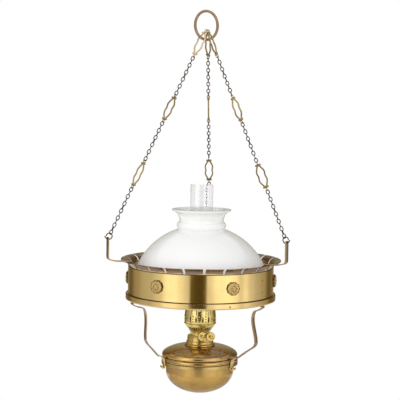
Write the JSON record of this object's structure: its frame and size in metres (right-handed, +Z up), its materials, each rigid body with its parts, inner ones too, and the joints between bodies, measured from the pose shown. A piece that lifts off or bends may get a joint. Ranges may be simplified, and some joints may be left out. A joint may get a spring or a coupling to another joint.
{
  "type": "hanging oil lamp",
  "caption": "Hanging library oil lamp: ring, three chains, brass shade band with strip arms, opal dome shade, chimney, duplex burner and brass font",
  "frame": {"origin": "the point inside the top of the suspension ring where a hook carries the lamp", "axes": "+Z up, -Y to the front, where the thumb wheels are"},
  "size_m": [0.318, 0.3255, 0.6777],
  "materials": {
    "ring_brass": "old drawn brass wire, browned",
    "bar_link_brass": "old cast brass, dark in its corners",
    "chain_wire": "dark brown brass wire",
    "band_brass": "polished spun brass, lacquered",
    "arm_brass": "brass strip, lightly browned",
    "font_brass": "satin spun brass with a pinkish brown bloom",
    "burner_brass": "bright yellow stamped brass",
    "wick_cotton": "flat woven cotton wick",
    "clear_glass": "clear blown glass",
    "opal_glass": "white opal glass, glossy"
  },
  "bodies": {
    "hanger": {"suspension_ring": "ring_brass"},
    "lamp": {"chain_left_bar_link_1": "bar_link_brass", "chain_left_run_1": "chain_wire", "chain_left_bar_link_2": "bar_link_brass", "chain_left_run_2": "chain_wire", "chain_left_bar_link_3": "bar_link_brass", "chain_left_run_3": "chain_wire", "chain_left_hook": "chain_wire", "chain_right_bar_link_1": "bar_link_brass", "chain_right_run_1": "chain_wire", "chain_right_bar_link_2": "bar_link_brass", "chain_right_run_2": "chain_wire", "chain_right_bar_link_3": "bar_link_brass", "chain_right_run_3": "chain_wire", "chain_right_hook": "chain_wire", "chain_back_bar_link_1": "bar_link_brass", "chain_back_run_1": "chain_wire", "chain_back_bar_link_2": "bar_link_brass", "chain_back_run_2": "chain_wire", "chain_back_bar_link_3": "bar_link_brass", "chain_back_run_3": "chain_wire", "chain_back_hook": "chain_wire", "shade_band": "band_brass", "lower_hoop": "band_brass", "arm_left": "arm_brass", "arm_right": "arm_brass", "arm_back": "arm_brass", "cradle_ring": "band_brass", "rosette_1": "band_brass", "rosette_2": "band_brass", "rosette_3": "band_brass", "rosette_4": "band_brass", "rosette_5": "band_brass", "rosette_6": "band_brass"},
    "shade": {"shade": "opal_glass"},
    "font": {"font_bowl": "font_brass", "font_top": "font_brass", "font_collar": "font_brass"},
    "burner": {"burner_base": "burner_brass", "burner_gallery": "burner_brass", "wick_tubes": "burner_brass", "flame_deflector": "burner_brass"},
    "chimney": {"chimney": "clear_glass"},
    "knob_1": {"spindle_1": "burner_brass", "thumb_wheel_1": "burner_brass"},
    "knob_2": {"spindle_2": "burner_brass", "thumb_wheel_2": "burner_brass"},
    "wick_1": {"wick_1": "wick_cotton"},
    "wick_2": {"wick_2": "wick_cotton"}
  },
  "joints": [
    {"name": "lamp_swing", "type": "hinge", "parent": "hanger", "child": "lamp", "pos_m": [0, 0, -0.0455], "axis": [0.7314, 0.682, 0], "range_deg": [-12, 12]},
    {"name": "shade_lift", "type": "slide", "parent": "lamp", "child": "shade", "axis": [0, 0, 1], "range_m": [0, 0.12]},
    {"name": "font_lift", "type": "slide", "parent": "lamp", "child": "font", "axis": [0, 0, 1], "range_m": [0, 0.06]},
    {"name": "burner_screw", "type": "hinge", "parent": "font", "child": "burner", "pos_m": [-0.00406, -0.00004, -0.57187], "axis": [0, 0, 1], "range_deg": [0, 360]},
    {"name": "chimney_lift", "type": "slide", "parent": "burner", "child": "chimney", "axis": [0, 0, 1], "range_m": [0, 0.15]},
    {"name": "wick_knob_1", "type": "hinge", "parent": "burner", "child": "knob_1", "pos_m": [-0.01043, -0.00242, -0.56617], "axis": [0.3502, -0.9367, 0], "range_deg": [-270, 270]},
    {"name": "wick_knob_2", "type": "hinge", "parent": "burner", "child": "knob_2", "pos_m": [0.00231, 0.00234, -0.56617], "axis": [0.3502, -0.9367, 0], "range_deg": [-270, 270]},
    {"name": "wick_slide_1", "type": "slide", "parent": "burner", "child": "wick_1", "axis": [0, 0, 1], "range_m": [-0.0099, 0.0099]},
    {"name": "wick_slide_2", "type": "slide", "parent": "burner", "child": "wick_2", "axis": [0, 0, 1], "range_m": [-0.0099, 0.0099]}
  ],
  "couplings": [
    {"joint": "wick_slide_1", "follows": "wick_knob_1", "m_per_rad": 0.0021},
    {"joint": "wick_slide_2", "follows": "wick_knob_2", "m_per_rad": -0.0021}
  ]
}
